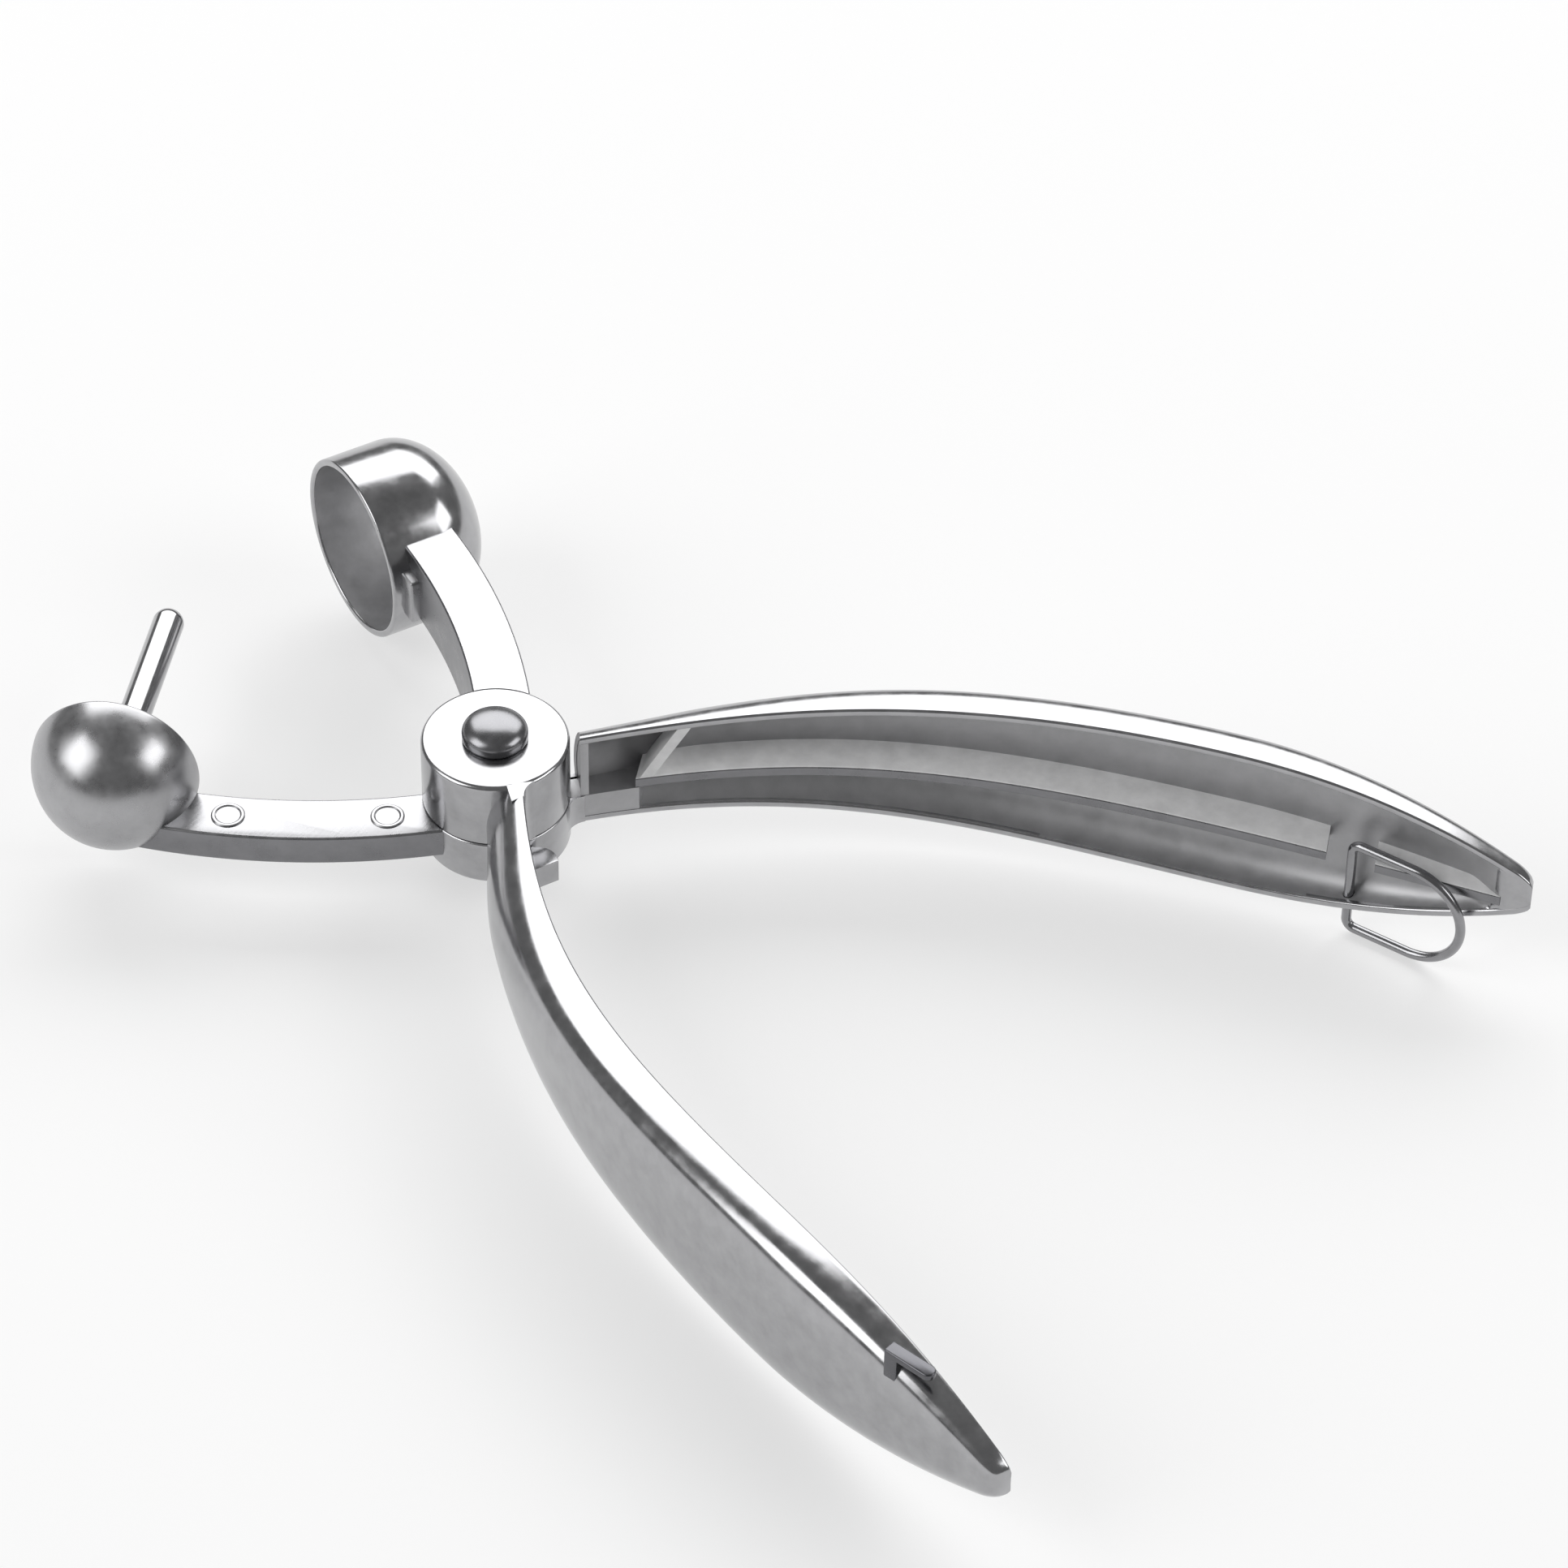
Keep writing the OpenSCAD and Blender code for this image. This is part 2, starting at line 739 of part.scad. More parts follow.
lower_barrel();
plunger_arm();
splash_bowl();
plunger_rod();
plunger_neck();
plunger_handle();
plunger_handle_rib();
plunger_handle_bulkhead();
plunger_handle_tip_web();
pivot_rivet();
return_spring();
upper_barrel();
cup_arm();
pitting_cup();
cup_neck();
closing_stop();
cup_handle();
cup_handle_rib();
cup_handle_bulkhead();
cup_handle_tip_web();
latch_hook();
latch_bail();
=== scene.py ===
"""Looks of the hand pitter: smooth castings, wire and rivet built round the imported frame.

Every shape is worked out in millimetres in the frame of a shut lever (handle along +X, rim facing
-Y), then turned to its open place. The cup lever is the mirror image of the plunger lever.
"""
import math

import bmesh
import bpy
import numpy as np
from mathutils import Matrix, Vector


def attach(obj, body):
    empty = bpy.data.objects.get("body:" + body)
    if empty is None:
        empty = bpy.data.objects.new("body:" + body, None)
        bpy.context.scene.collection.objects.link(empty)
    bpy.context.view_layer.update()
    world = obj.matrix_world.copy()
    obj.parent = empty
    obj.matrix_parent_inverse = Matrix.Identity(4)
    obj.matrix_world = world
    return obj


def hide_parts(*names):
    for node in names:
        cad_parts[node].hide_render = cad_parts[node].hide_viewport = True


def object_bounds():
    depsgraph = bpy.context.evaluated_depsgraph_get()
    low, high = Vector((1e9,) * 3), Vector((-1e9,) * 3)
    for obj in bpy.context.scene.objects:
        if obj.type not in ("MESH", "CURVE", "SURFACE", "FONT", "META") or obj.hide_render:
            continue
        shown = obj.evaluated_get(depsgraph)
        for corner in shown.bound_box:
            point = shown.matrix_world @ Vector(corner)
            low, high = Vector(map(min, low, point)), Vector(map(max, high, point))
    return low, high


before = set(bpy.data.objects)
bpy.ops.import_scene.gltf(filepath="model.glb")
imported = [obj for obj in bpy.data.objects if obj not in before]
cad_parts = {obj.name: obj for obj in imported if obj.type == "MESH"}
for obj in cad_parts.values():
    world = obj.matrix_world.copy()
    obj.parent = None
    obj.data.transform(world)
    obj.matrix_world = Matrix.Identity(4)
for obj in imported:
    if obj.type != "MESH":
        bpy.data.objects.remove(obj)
cad_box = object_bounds()

MM = 0.001
OPEN_HALF = math.radians(25)
PLUNGER, CUP, BAIL = "plunger_lever", "cup_lever", "latch_bail"

# Sizes of the CAD solids that the visible meshes follow, in millimetres
HUB_R, LOWER_TOP, SEAM_TOP, HUB_TOP = 8.7, 6.1, 6.25, 15.25
SHELL_R = 9.85
MID_Z, TIP_X = 8.6, 121.1
WALL = 1.0
RIM = [np.array(p) for p in ((10.4, 1.75), (41.2, 15.9), (63.8, 13.7), (TIP_X, 3.0))]
RIM_DIR = (RIM[1] - RIM[0]) / np.linalg.norm(RIM[1] - RIM[0])
NECK_END, BULKHEAD_RUN = 16.2, 6.0
RIB_OFFSET, RIB_T, RIB_END, TIP_WEB_X = 1.1, 1.5, 96.9, 102.7
FILLET_R, STOP_X, STOP_H, STOP_PLAY = 2.7, 12.4, 3.2, 0.15
JAW_X, JAW_Z = -44.1, 8.65
CUP_R, CUP_WALL, CUP_SKIRT, CUP_DOME, CUP_RIM, HOLE_R = 11.4, 1.3, 7.4, 8.4, 3.7, 3.8
BOWL_R, BOWL_WALL, BOWL_DEPTH, BOWL_RIM = 10.0, 1.4, 10.4, 5.9
ROD_R, ROD_TIP, BOSS_R, BOSS_H = 1.9, 1.2, 3.2, 3.0
ARM_R, ARM_X, ARM_Y, ARM_W, PLUNGER_ARM_T = 80.0, -35.2, 9.6, 6.7, 4.0
HEAD_R, HEAD_EDGE, HEAD_DOME = 3.9, 0.9, 1.7
WIRE_R, BAIL_W, BAIL_L = 0.6, 13.2, 14.7
BAIL_X, BAIL_INSET, BAIL_Z, BAIL_REST = 99.9, 1.6, 1.85, math.radians(22.65)
HOOK_X, HOOK_INSET, HOOK_L, HOOK_W, HOOK_T, HOOK_GAP = 105.5, 2.6, 5.4, 1.7, 0.9, 0.9
HOOK_TURN = math.radians(-20)

# Handle section along its length: half height, depth, tip, boxiness and end of the hollow
NECK_HALF, WIDE_HALF, TIP_HALF = 6.7, 10.65, 2.4
SWELL_FROM, WIDE_X, TAPER_POWER = 8.5, 84, 2.25
ROOT_DEPTH, SHELL_DEPTH, TIP_DEPTH = 4.8, 6.0, 2.4
DEPTH_FROM, DEPTH_RUN, THIN_FROM, THIN_POWER = 7, 16, 88, 1.6
TIP_ROUND, TIP_SHRINK = 2.0, 0.7
ROUND_POWER, LOWER_POWER, UPPER_POWER, BOXY_FROM, BOXY_RUN = 2, 3.0, 4.4, 14, 42
HOLLOW_TO, HOLLOW_RUN = 113.5, 5

# Fit of the visible meshes, in millimetres
SHELL_START, SHELL_STATIONS = 4, 190
CORE_INSET = 0.6
ARM_FIT, SEAM_FIT = 0.25, 0.02
INNER_EDGE = 0.3
MARK_PLACES = (11.7, 30.0)

# Studio: share of plain white in the floor's look, and the lamps as name, azimuth, elevation,
# width and height in degrees
WHITE_SHARE = 0.5
WORLD_GREY = 0.2
LAMP_RADIANCE = 3.0
LAMPS = (
    ("back_softbox", 122, 41, 66, 38),
    ("right_softbox", 22, 34, 34, 26),
    ("left_softbox", -124, 36, 36, 38),
)

# Camera of the photograph: angles, distance and middle of view, and metres per pixel there
CAMERA_AZIMUTH, CAMERA_ELEVATION, CAMERA_ROLL = (math.radians(a) for a in (34.46, 43.7, 1.033))
CAMERA_DISTANCE, CAMERA_TARGET = 0.7793, Vector((0.02753, 0.01942, 0.0082))
SENSOR, PICTURE_PX, METRES_PER_PX = 36, 1932, 0.095e-3


# ---------------------------------------------------------------- handle outline
def mix(a, b, t):
    return a + (b - a) * t


def smooth(t):
    t = np.clip(t, 0, 1)
    return t * t * (3 - 2 * t)


_T = np.linspace(0, 1, 4001)
_CURVE = (
    np.outer((1 - _T) ** 3, RIM[0])
    + np.outer(3 * (1 - _T) ** 2 * _T, RIM[1])
    + np.outer(3 * (1 - _T) * _T**2, RIM[2])
    + np.outer(_T**3, RIM[3])
)


def rim_y(x):
    """Distance from the middle line to the handle's rim."""
    before = RIM[0][1] + (x - RIM[0][0]) * RIM_DIR[1] / RIM_DIR[0]
    return np.where(x < RIM[0][0], before, np.interp(x, _CURVE[:, 0], _CURVE[:, 1]))


def tip_scale(x):
    """Share of its full size that the section keeps in the rounded tip."""
    t = np.clip((x - TIP_X + TIP_ROUND) / TIP_ROUND, 0, 1)
    return mix(TIP_SHRINK, 1, np.sqrt(np.maximum(0, 1 - t**2)))


def half_height(x):
    near = mix(NECK_HALF, WIDE_HALF, smooth((x - SWELL_FROM) / (WIDE_X - SWELL_FROM)))
    far = mix(WIDE_HALF, TIP_HALF, np.clip((x - WIDE_X) / (TIP_X - WIDE_X), 0, 1) ** TAPER_POWER)
    return tip_scale(x) * np.where(x < WIDE_X, near, far)


def depth(x):
    near = mix(ROOT_DEPTH, SHELL_DEPTH, smooth((x - DEPTH_FROM) / DEPTH_RUN))
    far = mix(SHELL_DEPTH, TIP_DEPTH, np.clip((x - THIN_FROM) / (TIP_X - THIN_FROM), 0, 1) ** THIN_POWER)
    return tip_scale(x) * np.where(x < WIDE_X, near, far)


def power(x, upper):
    """How boxy the section is; its upper half is the boxier one."""
    boxy = np.where(upper, UPPER_POWER, LOWER_POWER)
    return mix(ROUND_POWER, boxy, smooth((x - BOXY_FROM) / BOXY_RUN))


def inner_depth(x):
    """Depth of the hollow, which runs out before the solid tip."""
    return np.maximum((depth(x) - WALL) * (1 - smooth((x - HOLLOW_TO) / HOLLOW_RUN)), 0.02)


def inner_half(x):
    return np.maximum(half_height(x) - WALL, 0.25)


def arc_section(x, d, h, n_points, flat=0.0):
    """Points (c, z) of a rounded section, from its lower to its upper end; c is the depth."""
    a = np.radians(np.linspace(-90, 90, n_points))
    p = 2 / power(x, a > 0)
    c = d * np.maximum(0, np.cos(a)) ** p
    z = h * np.sign(np.sin(a)) * np.abs(np.sin(a)) ** p
    c = np.maximum(c, flat)
    return c, z


# ---------------------------------------------------------------- meshes
def lever_matrix(lever):
    """From a shut lever's millimetres to its open place in metres."""
    if lever == CUP:
        place = Matrix.Rotation(-OPEN_HALF, 4, "Z") @ Matrix.Diagonal((1, -1, 1, 1))
    else:
        place = Matrix.Rotation(OPEN_HALF, 4, "Z")
    return place @ Matrix.Scale(MM, 4)


def make_object(name, verts, faces, material, sharp=40):
    mesh = bpy.data.meshes.new(name)
    mesh.from_pydata([tuple(v) for v in verts], [], [tuple(f) for f in faces])
    for m in material if isinstance(material, (list, tuple)) else [material]:
        mesh.materials.append(m)
    mesh.validate()
    obj = bpy.data.objects.new(name, mesh)
    bpy.context.scene.collection.objects.link(obj)
    tidy_mesh(obj, sharp)
    return obj


def tidy_mesh(obj, sharp=40):
    bm = bmesh.new()
    bm.from_mesh(obj.data)
    bmesh.ops.remove_doubles(bm, verts=bm.verts, dist=1e-5)
    bmesh.ops.recalc_face_normals(bm, faces=bm.faces)
    bm.to_mesh(obj.data)
    bm.free()
    obj.data.shade_smooth()
    obj.data.set_sharp_from_angle(angle=math.radians(sharp))


def apply_modifiers(obj):
    graph = bpy.context.evaluated_depsgraph_get()
    mesh = bpy.data.meshes.new_from_object(obj.evaluated_get(graph))
    obj.modifiers.clear()
    obj.data = mesh


def cut(obj, tool, operation="DIFFERENCE"):
    """Applies a Boolean with the tool and removes the tool."""
    mod = obj.modifiers.new("cut", "BOOLEAN")
    mod.operation, mod.object, mod.solver = operation, tool, "EXACT"
    bpy.context.view_layer.update()
    apply_modifiers(obj)
    bpy.data.objects.remove(tool)
    return obj


def bevel(obj, width, angle=50, segments=3):
    mod = obj.modifiers.new("bevel", "BEVEL")
    mod.width, mod.segments, mod.limit_method = width, segments, "ANGLE"
    mod.angle_limit = math.radians(angle)
    mod.use_clamp_overlap = True
    mod.harden_normals = False
    bpy.context.view_layer.update()
    apply_modifiers(obj)
    return obj


def ring_faces(rows, columns):
    """Quads between closed rows of points, and an end face on the first and the last row."""
    faces = []
    for i in range(rows - 1):
        near, far = i * columns, (i + 1) * columns
        for k in range(columns):
            j = (k + 1) % columns
            faces.append((near + k, far + k, far + j, near + j))
    faces.append(tuple(range(columns)))
    faces.append(tuple((rows - 1) * columns + k for k in range(columns - 1, -1, -1)))
    return faces


def sweep(name, stations, profile, material, sharp=40):
    """Solid through closed profiles: profile(x) gives points (c, z) with c measured from the rim."""
    rows = []
    for x in stations:
        points = profile(x)
        y = float(rim_y(x))
        rows.append([(x, y + c, z) for c, z in points])
    columns = len(rows[0])
    verts = [p for row in rows for p in row]
    return make_object(name, verts, ring_faces(len(rows), columns), material, sharp)


def prism(name, outline, z0, z1, material, sharp=40):
    n = len(outline)
    verts = [(x, y, z0) for x, y in outline] + [(x, y, z1) for x, y in outline]
    return make_object(name, verts, ring_faces(2, n), material, sharp)


def lathe(name, profile, material, segments=128, sharp=40):
    """Solid of revolution about Z from a closed outline of (r, z) points."""
    columns = len(profile)
    verts, faces = [], []
    for i in range(segments):
        a = 2 * math.pi * i / segments
        verts += [(max(r, 0) * math.cos(a), max(r, 0) * math.sin(a), z) for r, z in profile]
    for i in range(segments):
        for k in range(columns):
            j, n = (k + 1) % columns, (i + 1) % segments
            faces.append((i * columns + k, n * columns + k, n * columns + j, i * columns + j))
    return make_object(name, verts, faces, material, sharp)


def place(obj, matrix):
    obj.data.transform(matrix)
    if matrix.determinant() < 0:
        obj.data.flip_normals()
    return obj


def finish_piece(obj, body, nodes=()):
    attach(obj, body)
    if nodes:
        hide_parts(*nodes)
    return obj


# ---------------------------------------------------------------- materials
def node(tree, kind, **sockets):
    n = tree.nodes.new(kind)
    for key, value in sockets.items():
        if key in n.inputs:
            n.inputs[key].default_value = value
        else:
            setattr(n, key, value)
    return n


def metal(name, colour, rough, waves=0.35, grain=0.15, stretch=(1, 1, 1), metallic=1.0):
    """Plated or bare metal: slow casting waves, fine polishing grain and uneven gloss."""
    spread, dirt = 0.06, 0.12
    mat = bpy.data.materials.new(name)
    mat.use_nodes = True
    tree = mat.node_tree
    link = tree.links.new
    shader = tree.nodes["Principled BSDF"]
    shader.inputs["Metallic"].default_value = metallic
    place_at = node(tree, "ShaderNodeTexCoord")
    stretched = node(tree, "ShaderNodeMapping")
    stretched.inputs["Scale"].default_value = stretch
    link(place_at.outputs["Object"], stretched.inputs["Vector"])

    slow = node(tree, "ShaderNodeTexNoise", Scale=170.0, Detail=2.0, Roughness=0.5)
    fine = node(tree, "ShaderNodeTexNoise", Scale=2600.0, Detail=4.0, Roughness=0.6)
    patch = node(tree, "ShaderNodeTexNoise", Scale=420.0, Detail=5.0, Roughness=0.6)
    link(place_at.outputs["Object"], slow.inputs["Vector"])
    link(stretched.outputs["Vector"], fine.inputs["Vector"])
    link(place_at.outputs["Object"], patch.inputs["Vector"])

    tint = node(tree, "ShaderNodeMapRange")
    tint.inputs["From Min"].default_value = 0.3
    tint.inputs["From Max"].default_value = 0.7
    link(patch.outputs["Fac"], tint.inputs["Value"])
    ramp = node(tree, "ShaderNodeMix", data_type="RGBA")
    ramp.inputs[6].default_value = tuple(c * (1 - dirt) for c in colour) + (1,)
    ramp.inputs[7].default_value = tuple(min(1, c * (1 + 0.4 * dirt)) for c in colour) + (1,)
    link(tint.outputs["Result"], ramp.inputs["Factor"])
    link(ramp.outputs[2], shader.inputs["Base Color"])

    gloss = node(tree, "ShaderNodeMapRange")
    gloss.inputs["From Min"].default_value = 0.3
    gloss.inputs["From Max"].default_value = 0.7
    gloss.inputs["To Min"].default_value = max(0.03, rough - spread)
    gloss.inputs["To Max"].default_value = rough + spread
    link(patch.outputs["Fac"], gloss.inputs["Value"])
    link(gloss.outputs["Result"], shader.inputs["Roughness"])

    wave_bump = node(tree, "ShaderNodeBump", Strength=waves, Distance=0.00006)
    grain_bump = node(tree, "ShaderNodeBump", Strength=grain, Distance=0.00001)
    link(slow.outputs["Fac"], wave_bump.inputs["Height"])
    link(fine.outputs["Fac"], grain_bump.inputs["Height"])
    link(wave_bump.outputs["Normal"], grain_bump.inputs["Normal"])
    link(grain_bump.outputs["Normal"], shader.inputs["Normal"])
    return mat


M_BRIGHT = metal("polished_plating", (0.43, 0.43, 0.44), 0.2)
M_BOWL = metal("soft_polished_plating", (0.42, 0.42, 0.43), 0.3)
M_INSIDE = metal("satin_plating", (0.46, 0.46, 0.47), 0.46, waves=0.5, grain=0.4, metallic=0.85)
# Inside of the cup: satin finish, with a lighter colour than the outside that is painted light in the
# hollow
M_PAINTED_LIGHT_CUP_INSIDE = metal("satin_cup_painted_light", (0.62, 0.62, 0.63), 0.36, waves=0.4, grain=0.3, metallic=0.8)
# Rib and bulkhead: satin casting finish, with a near-white non-metal colour that is painted light, lifting
# the shaded inside of the channel
M_PAINTED_LIGHT_RIB = metal("satin_rib_painted_light", (0.9, 0.9, 0.9), 0.45, waves=0.4, grain=0.5, metallic=0.0)
# Painted shade: a darker copy of the plating for the upright faces of arms and ribs
M_PAINTED_SHADE = metal("painted_shade_faces", (0.24, 0.24, 0.25), 0.3, waves=0.6, grain=0.5)
M_ARM = metal("brushed_arm", (0.4, 0.4, 0.41), 0.28, grain=0.9, stretch=(1.0, 0.08, 1.0))
M_STEEL = metal("polished_steel", (0.44, 0.44, 0.45), 0.14, waves=0.1, grain=0.1)
M_RIVET = metal("dark_steel", (0.25, 0.25, 0.26), 0.28, waves=0.15)
M_HOOK = metal("dark_casting", (0.13, 0.13, 0.14), 0.25, waves=0.3)
M_WIRE = metal("spring_wire", (0.32, 0.32, 0.33), 0.2, waves=0.1, grain=0.3)


# ---------------------------------------------------------------- handle castings
def shell_profile(x):
    """Closed section of the channel: outside, upper lip, inside, lower lip."""
    d, h = float(depth(x)), float(half_height(x))
    di, hi = float(inner_depth(x)), float(inner_half(x))
    lip = min(0.42, 0.3 * (h - hi), 0.4 * d)
    inner_lip = min(lip, di)
    c_out, z_out = arc_section(x, d, h, 61)
    keep = c_out > lip
    outer = [(lip, -z_at(x, d, h, lip, False))]
    outer += list(zip(c_out[keep], z_out[keep]))
    outer += [(lip, z_at(x, d, h, lip, True))]
    c_in, z_in = arc_section(x, di, hi, 61)
    inner = [(max(c, inner_lip) if abs(z) > 0.9 * hi else c, z) for c, z in zip(c_in, z_in)]
    outer, inner = resample(outer, 60), resample(inner, 60)
    corner = np.linspace(0, math.pi / 2, 5)[1:-1]

    def lip_points(z_out, z_in):
        pts = [(lip - lip * math.sin(a), z_out - lip + lip * math.cos(a)) for a in corner]
        pts += [(0, z_out - lip), (0, z_in + inner_lip)]
        pts += [
            (inner_lip - inner_lip * math.cos(a), z_in + inner_lip - inner_lip * math.sin(a))
            for a in corner
        ]
        return pts

    upper = lip_points(outer[-1][1], inner[-1][1])
    lower = [(c, -z) for c, z in reversed(lip_points(-outer[0][1], -inner[0][1]))]
    loop = outer + upper + inner[::-1] + lower
    return [(c, z + MID_Z) for c, z in loop]


def z_at(x, d, h, c, upper):
    """Height of a section above its middle plane at depth c."""
    n = float(power(x, upper))
    return h * max(0.0, 1 - min(1.0, c / d) ** n) ** (1 / n)


def c_at(x, d, h, z):
    """Depth of a section at height z above the middle plane."""
    n = float(power(x, z > 0))
    return d * max(0.0, 1 - min(1.0, abs(z) / h) ** n) ** (1 / n)


def resample(points, n):
    """The same open line with n points at even steps along it."""
    p = np.array(points, float)
    step = np.r_[0, np.cumsum(np.linalg.norm(np.diff(p, axis=0), axis=1))]
    at = np.linspace(0, step[-1], n)
    return [(float(np.interp(s, step, p[:, 0])), float(np.interp(s, step, p[:, 1]))) for s in at]


def stations(x0, x1, n):
    """Places along the handle, closer together at the far end."""
    t = np.sin(np.linspace(0, math.pi / 2, n)) * 0.6 + np.linspace(0, 1, n) * 0.4
    return x0 + (x1 - x0) * t / t[-1]


def core(name, inset, x0, x1, front=0.08):
    """Solid that fills the handle's section, drawn in by inset and flat just behind the rim."""
    def profile(x):
        d, h = float(depth(x)) - inset, float(half_height(x)) - inset
        c, z = arc_section(x, d, h, 41, front)
        return list(zip(c, z + MID_Z))
    return sweep(name, np.linspace(x0, x1, 24), profile, M_INSIDE)


def block(name, lo, hi, material=None):
    x0, y0, z0 = lo
    x1, y1, z1 = hi
    return prism(name, [(x0, y0), (x1, y0), (x1, y1), (x0, y1)], z0, z1, material or M_INSIDE)


def disc(name, r, z0, z1, centre=(0, 0), segments=160):
    a = np.linspace(0, 2 * math.pi, segments, endpoint=False)
    outline = [(centre[0] + r * math.cos(t), centre[1] + r * math.sin(t)) for t in a]
    return prism(name, outline, z0, z1, M_INSIDE)


def fillet_centre():
    """Centre of the round between the barrel and the handle's rim, and the way from rim to centre."""
    side = np.array([RIM_DIR[1], -RIM_DIR[0]])
    base = RIM[0] + FILLET_R * side
    b = float(base @ RIM_DIR)
    slide = math.sqrt(b * b - float(base @ base) + (HUB_R + FILLET_R) ** 2) - b
    return base + slide * RIM_DIR, side


def build_handle(lever):
    """Shell, neck, end wall, bulkhead and ribs of one handle."""
    tag = "plunger" if lever == PLUNGER else "cup"
    up = 1 if lever == PLUNGER else -1
    neck_z = (0, LOWER_TOP) if up > 0 else (SEAM_TOP, 20)
    open_z = (LOWER_TOP, 20) if up > 0 else (0, SEAM_TOP)
    matrix = lever_matrix(lever)

    along = stations(SHELL_START, TIP_X, SHELL_STATIONS)
    shell = sweep(f"{tag}_handle_casting", along, shell_profile, [M_BRIGHT, M_INSIDE], 35)
    paint_inside(shell)
    cut(shell, disc("tool", SHELL_R, open_z[0] - (1 if up < 0 else 0), open_z[1]))
    cut(shell, disc("tool", HUB_R - 0.2, neck_z[0] - 1, neck_z[1] + 1))
    if lever == PLUNGER:
        hole = (BAIL_X, float(rim_y(BAIL_X)) + BAIL_INSET)
        cut(shell, disc("tool", WIRE_R + 0.08, -4, MID_Z, hole, 32))
    tidy_mesh(shell, 35)

    neck = core("neck", CORE_INSET, 6, 18)
    cut(neck, block("tool", (5, -5, neck_z[0]), (NECK_END, 20, neck_z[1])), "INTERSECT")
    cut(neck, disc("tool", HUB_R - 0.3, -1, 20))
    neck.name = f"{tag}_neck_casting"
    bevel(neck, 0.25)
    tidy_mesh(neck)

    wall = core("wall", CORE_INSET, 6, 18, 0.12)
    cut(wall, disc("tool", SHELL_R + WALL, open_z[0] - 0.3, open_z[1] + 0.3), "INTERSECT")
    cut(wall, disc("tool", SHELL_R + 0.05, -1, 20))
    wall.name = f"{tag}_end_wall"
    bevel(wall, 0.2)
    tidy_mesh(wall)

    foot, far = MID_Z - up * RIB_OFFSET, MID_Z + up * 9
    slab_points = [
        (NECK_END, foot), (NECK_END + RIB_T, foot),
        (NECK_END + RIB_T + BULKHEAD_RUN, far), (NECK_END + BULKHEAD_RUN, far),
    ]
    slab = make_object(
        "slab",
        [(x, -5, z) for x, z in slab_points] + [(x, 30, z) for x, z in slab_points],
        ring_faces(2, 4), M_PAINTED_LIGHT_RIB,
    )
    bulkhead = core("bulkhead", CORE_INSET, 12, 28, 0.12)
    # The bulkhead gets the rib's pale painted-light material
    bulkhead.data.materials[0] = M_PAINTED_LIGHT_RIB
    cut(bulkhead, slab, "INTERSECT")
    bulkhead.name = f"{tag}_bulkhead"
    bevel(bulkhead, 0.3)
    tidy_mesh(bulkhead)

    near, other = MID_Z - up * RIB_OFFSET, MID_Z - up * (RIB_OFFSET + RIB_T)

    def rib_profile(x):
        """Rib section: a small blend to the back wall on its near face and a rounded front."""
        di, hi = float(inner_depth(x)), float(inner_half(x))
        back = c_at(x, di, hi, near - MID_Z) + 0.35
        blend = min(0.5, max(0.05, back - 1.0))
        front = min(0.1, 0.5 * back)
        arc = [
            (back - blend + blend * math.sin(a), near + up * (blend - blend * math.cos(a)))
            for a in np.linspace(math.pi / 2, 0, 9)
        ]
        edge = min(0.3, 0.3 * back)
        ends = [
            (front + edge * (1 - math.sin(a)), near - up * edge * (1 - math.cos(a)))
            for a in np.linspace(0, math.pi / 2, 5)
        ]
        ends += [
            (front + edge * (1 - math.cos(a)), other + up * edge * (1 - math.sin(a)))
            for a in np.linspace(0, math.pi / 2, 5)
        ]
        return [(back, other)] + arc + ends

    # Rib tops get the pale painted-light material, and their upright faces get painted shade
    rib_lit_and_shaded = [M_PAINTED_LIGHT_RIB, M_PAINTED_SHADE]
    rib = sweep(f"{tag}_rib", np.linspace(NECK_END - 0.4, RIB_END, 110), rib_profile, rib_lit_and_shaded)
    web = sweep(f"{tag}_tip_web", np.linspace(TIP_WEB_X, 117.5, 30), rib_profile, rib_lit_and_shaded)
    for obj in (rib, web):
        paint_shaded_sides(obj)

    middle, side = fillet_centre()
    start = math.atan2(-middle[1], -middle[0])
    end = math.atan2(-side[1], -side[0])
    sweep_by = (end - start) % (2 * math.pi)
    if sweep_by > math.pi:
        sweep_by -= 2 * math.pi
    angles = [start + sweep_by * t for t in np.linspace(0, 1, 15)]
    arc = [middle + FILLET_R * np.array([math.cos(a), math.sin(a)]) for a in angles]
    outline = arc + [np.array([10.4, 3.4]), np.array([7.6, 2.6])]
    z0, z1 = max(neck_z[0], MID_Z - 6.65), min(neck_z[1] - 0.02, MID_Z + 6.65)
    round_fill = prism(f"{tag}_neck_fillet", outline, z0, z1, M_BRIGHT)
    bevel(round_fill, 0.25, 60)
    tidy_mesh(round_fill)

    nodes = {
        shell: (f"{tag}_handle",),
        neck: (f"{tag}_neck",),
        bulkhead: (f"{tag}_handle_bulkhead",),
        rib: (f"{tag}_handle_rib",),
        web: (f"{tag}_handle_tip_web",),
        wall: (),
        round_fill: (),
    }
    for obj, names in nodes.items():
        place(obj, matrix)
        finish_piece(obj, lever, names)


def paint_shaded_sides(obj):
    """Gives the upright faces of a bar painted shade, a darker second material."""
    for f in obj.data.polygons:
        f.material_index = 1 if abs(f.normal.z) < 0.6 else 0


def paint_inside(shell):
    """Gives the faces of the hollow the satin finish of an unpolished casting."""
    for f in shell.data.polygons:
        x, y, z = f.center
        c = y - float(rim_y(x))
        d, h = float(depth(x)), float(half_height(x))
        n = float(power(x, z > MID_Z))
        level = (max(c, 0) / d) ** n + (abs(z - MID_Z) / h) ** n
        f.material_index = 1 if (level < 0.8 and c > 0.5 and x < 119) else 0


